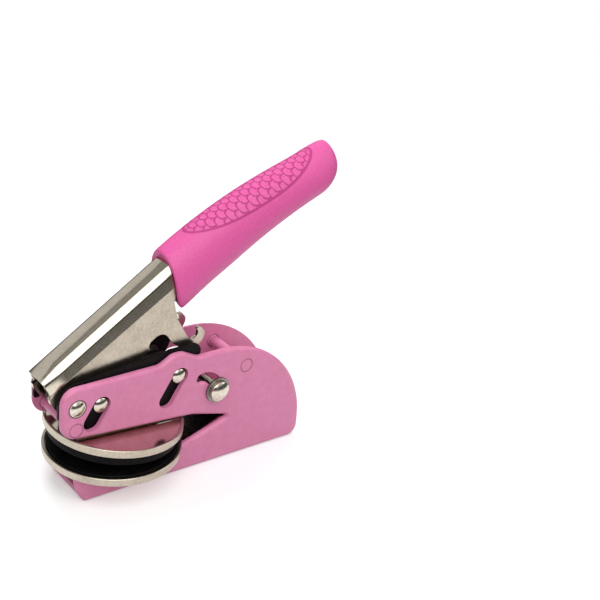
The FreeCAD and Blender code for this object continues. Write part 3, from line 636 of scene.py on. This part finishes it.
# ------------------------------------------------------------------ die clip
# Two dishes pressed from nickel-plated steel and riveted to folded rails, which slide into
# the throat. Each dish holds a die plate of hard black plastic.
for node, body, finish in (("lower_disc", "clip", nickel), ("lower_rail", "clip", satin),
                           ("upper_disc", "upper_jaw", nickel), ("upper_rail", "upper_jaw", satin)):
    softened(node, node + "_nickel", 0.15, body, finish, 2, 38)
for node, body in (("lower_die", "clip"), ("upper_die", "upper_jaw")):
    softened(node, node + "_black", 0.2, body, black, 2)


# ------------------------------------------------------------------ dish rims
# The sheet is curled over at the edge of each dish, so the rims are thicker than the pans
# and carry the satin of the turning tool. The upper dish is tilted open round the clip's fold.
RIM_SECTION = ((23.15, 0.0), (23.85, 0.0), (24.1, 0.25), (24.1, 2.6), (23.9, 2.8), (23.15, 2.8),
               (22.95, 2.6), (22.95, 0.2))
fold = Matrix.Translation((0.043, 0, 0.017))
for node, body, low, tilt in (("lower_disc", "clip", 10.75, 0.0),
                              ("upper_disc", "upper_jaw", 17.6, 4.4)):
    shape = bmesh.new()
    spots = [(radius, 0, low + height) for radius, height in RIM_SECTION]
    start = bmesh.ops.create_vert(shape, co=spots[0])["vert"][0]
    end = draw_on(shape, start, spots[1:])
    bmesh.ops.contextual_create(shape, geom=[end, start])
    bmesh.ops.spin(shape, geom=shape.verts[:] + shape.edges[:], cent=(0, 0, 0), axis=(0, 0, 1),
                   angle=math.tau, steps=120, use_merge=True)
    turn = fold @ Matrix.Rotation(math.radians(tilt), 4, "Y") @ fold.inverted()
    to_metres(shape, turn)
    shade_smooth(shape, CREASE_ANGLE)
    curl = new_piece(node + "_rim", shape, satin)
    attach(curl, body)


# ------------------------------------------------------------------ floor, light, camera
# Stage only: a round pale floor that keeps the shadow and fades out, a surround that is
# white to the eye, one big soft lamp from the upper left, a weak one opposite and one behind.
# In a reflection the floor fades out nearer than it does to the eye.
FLOOR_RADIUS, FLOOR_DROP = 0.42, 0.0001
FADE, MIRRORED_FADE = (0.24, 0.40), (0.17, 0.26)

shape = bmesh.new()
bmesh.ops.create_circle(shape, cap_ends=True, segments=96, radius=FLOOR_RADIUS)
pale, place, varies = new_finish("pale_floor", Roughness=1.0, Specular_IOR_Level=0.0,
                                 Emission_Strength=1.0)
tree = pale.node_tree
rays = tree.nodes.new("ShaderNodeLightPath")
mirrored = Shade(tree, rays.outputs["Is Glossy Ray"])
shown = Shade(tree, rays.outputs["Is Camera Ray"]).most(mirrored)
shown = shown.most(Shade(tree, rays.outputs["Is Transmission Ray"]))
varies("Base Color", shown.tint((0.40, 0.40, 0.40, 1), (0.90, 0.90, 0.90, 1)))
varies("Emission Color", shown.tint((0, 0, 0, 1), (0.22, 0.22, 0.22, 1)))
across, deep, _ = place.split()
away = (across * across + deep * deep) ** 0.5
near = 1 - away.step(*MIRRORED_FADE)
wide = 1 - away.step(*FADE)
varies("Alpha", wide + mirrored * (near - wide))
floor = new_piece("floor", shape, pale)
floor.location = (0.02, 0, -FLOOR_DROP)

# What the metal mirrors: greys of a room from the nadir to the zenith, with a dark band
# at the horizon, a bright one over it and a thin dark gap above that.
ROOM = ((0.0, 0.22), (0.44, 0.20), (0.49, 0.05), (0.60, 0.06), (0.68, 0.72), (0.83, 0.74),
        (0.845, 0.14), (0.865, 0.36), (1.0, 0.32))
SOFT_LIGHT = 0.42
world = bpy.data.worlds.new("surround")
bpy.context.scene.world = world
world.use_nodes = True
tree = world.node_tree
rays = tree.nodes.new("ShaderNodeLightPath")
shown = Shade(tree, rays.outputs["Is Camera Ray"])
shown = shown.most(Shade(tree, rays.outputs["Is Transmission Ray"]))
mirrored = Shade(tree, rays.outputs["Is Glossy Ray"])
height = Shade(tree, tree.nodes.new("ShaderNodeTexCoord").outputs["Generated"]).split()[2]
height = height.add("ShaderNodeMapRange", {"interpolation_type": "LINEAR"}, 0,
                    Value=height, From_Min=-1.0, From_Max=1.0)
room = height.add("ShaderNodeValToRGB", {"stops": ROOM}, 0, i0=height)
strength = shown + (1 - shown) * (mirrored * room + (1 - mirrored) * SOFT_LIGHT)
tree.links.new(strength.socket, tree.nodes["Background"].inputs["Strength"])
tree.nodes["Background"].inputs["Color"].default_value = (1, 1, 1, 1)


def soft_lamp(name, place, aim, size, watts, mirrored=True):
    """A square area lamp at a place, aimed at a point; it may be left out of reflections."""
    data = bpy.data.lights.new(name, "AREA")
    data.shape = "RECTANGLE"
    data.size = size
    data.size_y = size
    data.energy = watts
    lamp = add_object(name, data)
    lamp.location = place
    lamp.visible_glossy = mirrored
    lamp.rotation_euler = (Vector(aim) - Vector(place)).to_track_quat("-Z", "Y").to_euler()


soft_lamp("key", (-0.28, -0.62, 0.78), (0.02, 0, 0.05), 1.15, 8.7)
soft_lamp("top", (0.16, 0.40, 0.70), (0.02, 0, 0.03), 0.5, 3.2, False)
soft_lamp("fill", (0.75, -0.45, 0.45), (0.02, 0, 0.05), 0.4, 0.8)

# The camera looks down on the near side from the front, turned a little about its own axis.
AZIMUTH, ELEVATION, ROLL = math.radians(35.3), math.radians(27.3), math.radians(3.9)
toward = Vector((-math.sin(AZIMUTH) * math.cos(ELEVATION),
                 -math.cos(AZIMUTH) * math.cos(ELEVATION), math.sin(ELEVATION)))
level = Vector((math.cos(AZIMUTH), -math.sin(AZIMUTH), 0))
overhead = toward.cross(level)
right = level * math.cos(ROLL) + overhead * math.sin(ROLL)
up = overhead * math.cos(ROLL) - level * math.sin(ROLL)
lens = bpy.data.cameras.new("camera")
lens.lens = 72
lens.sensor_width = 36
lens.shift_x = 0.2
lens.shift_y = 20 / 600
camera = add_object("camera", lens)
camera.location = (-0.183603, -0.294965, 0.240434)
camera.rotation_euler = Matrix((right, up, toward)).transposed().to_euler()
bpy.context.scene.camera = camera
bpy.context.scene.view_settings.view_transform = "Standard"
